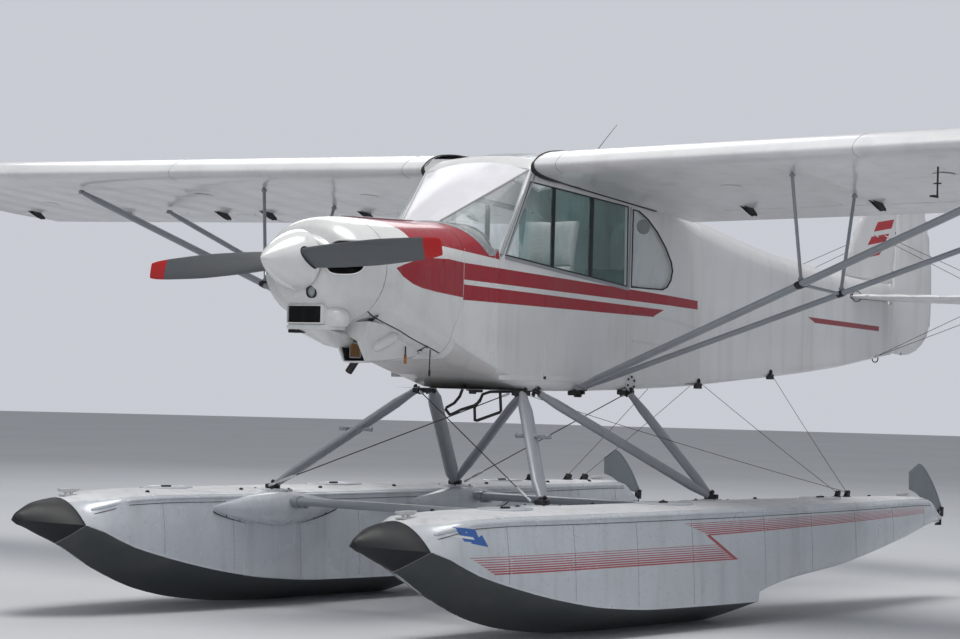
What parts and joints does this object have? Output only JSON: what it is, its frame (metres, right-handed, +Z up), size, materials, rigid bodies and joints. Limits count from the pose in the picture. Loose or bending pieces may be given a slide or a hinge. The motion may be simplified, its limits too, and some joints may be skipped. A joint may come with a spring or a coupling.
{
  "type": "floatplane",
  "caption": "Two-seat high-wing floatplane with strut-braced wings, twin floats with water rudders, a turning propeller and working control surfaces and doors.",
  "frame": {"origin": "centre line, half way along the length, level with the float keels", "axes": "+X to port (the pilot's left), +Y aft, +Z up"},
  "size_m": [10.743, 7.444, 2.7879],
  "materials": {
    "cowl_paint": "glossy white paint with crimson stripes",
    "engine_casting": "rough grey casting",
    "blade_paint": "matt grey paint with red tips",
    "panel_black": "matt black",
    "fabric_paint": "doped fabric, glossy white paint with crimson stripes",
    "door_frame_paint": "grey painted tube frame",
    "window": "clear acrylic sheet, faintly green",
    "seat_cloth": "dark grey woven cloth",
    "strut_paint": "satin light grey paint",
    "rudder_blade_paint": "satin blue-grey paint",
    "float_paint": "white paint over riveted aluminium sheet",
    "bumper_rubber": "matt black",
    "wire_steel": "bare streamlined wire"
  },
  "bodies": {
    "airframe": {"nose_bowl": "cowl_paint", "lower_cowl": "cowl_paint", "boot_cowl": "cowl_paint", "engine_block": "engine_casting", "instrument_panel": "panel_black", "cabin_shell": "fabric_paint", "wing_left": "fabric_paint", "wing_right": "fabric_paint", "tail_fuselage": "fabric_paint", "stabilizer": "fabric_paint", "fin": "fabric_paint", "side_glass_left": "window", "front_glass_right": "window", "rear_window_left": "window", "rear_window_right": "window", "windshield": "window", "skylight": "window", "front_seat": "seat_cloth", "rear_seat": "seat_cloth", "lift_struts_left": "strut_paint", "lift_struts_right": "strut_paint", "spreader_front": "strut_paint", "spreader_rear": "strut_paint", "front_strut_left": "strut_paint", "front_strut_right": "strut_paint", "rear_struts_left": "strut_paint", "rear_struts_right": "strut_paint", "float_left": "float_paint", "float_right": "float_paint", "bumper_left": "bumper_rubber", "bumper_right": "bumper_rubber", "brace_wire_front_left": "wire_steel", "brace_wire_front_right": "wire_steel", "brace_wire_rear_left": "wire_steel", "brace_wire_rear_right": "wire_steel"},
    "propeller": {"propeller": "blade_paint", "spinner": "cowl_paint"},
    "flap_left": {"flap_left": "fabric_paint"},
    "flap_right": {"flap_right": "fabric_paint"},
    "aileron_left": {"aileron_left": "fabric_paint"},
    "aileron_right": {"aileron_right": "fabric_paint"},
    "elevator": {"elevator": "fabric_paint"},
    "rudder": {"rudder": "fabric_paint"},
    "door_lower": {"door_lower": "fabric_paint"},
    "door_upper": {"door_upper": "door_frame_paint", "door_glass": "window"},
    "cowl_door_left": {"cowl_door_left": "cowl_paint"},
    "cowl_door_right": {"cowl_door_right": "cowl_paint"},
    "water_rudder_post_left": {"water_rudder_post_left": "rudder_blade_paint"},
    "water_rudder_post_right": {"water_rudder_post_right": "rudder_blade_paint"},
    "water_rudder_blade_left": {"water_rudder_blade_left": "rudder_blade_paint"},
    "water_rudder_blade_right": {"water_rudder_blade_right": "rudder_blade_paint"}
  },
  "joints": [
    {"name": "propeller_spin", "type": "hinge", "parent": "airframe", "child": "propeller", "pos_m": [0, -2.955, 1.838], "axis": [0, 1, 0.0087], "continuous": true},
    {"name": "flap_left_hinge", "type": "hinge", "parent": "airframe", "child": "flap_left", "pos_m": [0.3691, -0.15858, 2.27758], "axis": [-0.9998, 0, -0.0175], "range_deg": [0, 50]},
    {"name": "flap_right_hinge", "type": "hinge", "parent": "airframe", "child": "flap_right", "pos_m": [-0.3691, -0.15858, 2.27758], "axis": [-0.9998, 0, 0.0175], "range_deg": [0, 50]},
    {"name": "aileron_left_hinge", "type": "hinge", "parent": "airframe", "child": "aileron_left", "pos_m": [0.3691, -0.15858, 2.27758], "axis": [0.9998, 0, 0.0175], "range_deg": [-18, 18]},
    {"name": "aileron_right_hinge", "type": "hinge", "parent": "airframe", "child": "aileron_right", "pos_m": [-0.3691, -0.15858, 2.27758], "axis": [0.9998, 0, -0.0175], "range_deg": [-18, 18]},
    {"name": "elevator_hinge", "type": "hinge", "parent": "airframe", "child": "elevator", "pos_m": [0, 3.092, 1.87], "axis": [1, 0, 0], "range_deg": [-15, 25]},
    {"name": "rudder_hinge", "type": "hinge", "parent": "airframe", "child": "rudder", "pos_m": [0, 3.149, 1.613], "axis": [0, 0.0795, 0.9968], "range_deg": [-25, 25]},
    {"name": "door_lower_hinge", "type": "hinge", "parent": "airframe", "child": "door_lower", "pos_m": [-0.374, -0.8725, 1.403], "axis": [0, -1, 0], "range_deg": [0, 80]},
    {"name": "door_upper_hinge", "type": "hinge", "parent": "airframe", "child": "door_upper", "pos_m": [-0.374, -1.215, 2.311], "axis": [0, 0.9967, -0.0815], "range_deg": [0, 90]},
    {"name": "cowl_door_left_hinge", "type": "hinge", "parent": "airframe", "child": "cowl_door_left", "pos_m": [0.03, -2.5, 2.08168], "axis": [0, -0.9999, -0.0157], "range_deg": [0, 75]},
    {"name": "cowl_door_right_hinge", "type": "hinge", "parent": "airframe", "child": "cowl_door_right", "pos_m": [-0.03, -2.5, 2.08168], "axis": [0, 0.9999, 0.0157], "range_deg": [0, 75]},
    {"name": "water_rudder_steer_left", "type": "hinge", "parent": "airframe", "child": "water_rudder_post_left", "pos_m": [1.125, 1.79, 0.48], "axis": [0, 0, 1], "range_deg": [-30, 30]},
    {"name": "water_rudder_steer_right", "type": "hinge", "parent": "airframe", "child": "water_rudder_post_right", "pos_m": [-1.125, 1.79, 0.48], "axis": [0, 0, 1], "range_deg": [-30, 30]},
    {"name": "water_rudder_lift_left", "type": "hinge", "parent": "water_rudder_post_left", "child": "water_rudder_blade_left", "pos_m": [1.125, 1.826, 0.54], "axis": [-1, 0, 0], "range_deg": [0, 185]},
    {"name": "water_rudder_lift_right", "type": "hinge", "parent": "water_rudder_post_right", "child": "water_rudder_blade_right", "pos_m": [-1.125, 1.826, 0.54], "axis": [-1, 0, 0], "range_deg": [0, 185]}
  ],
  "couplings": [
    {"joint": "flap_right_hinge", "follows": "flap_left_hinge", "ratio": 1},
    {"joint": "aileron_right_hinge", "follows": "aileron_left_hinge", "ratio": -1},
    {"joint": "water_rudder_steer_right", "follows": "water_rudder_steer_left", "ratio": 1},
    {"joint": "water_rudder_lift_right", "follows": "water_rudder_lift_left", "ratio": 1}
  ]
}
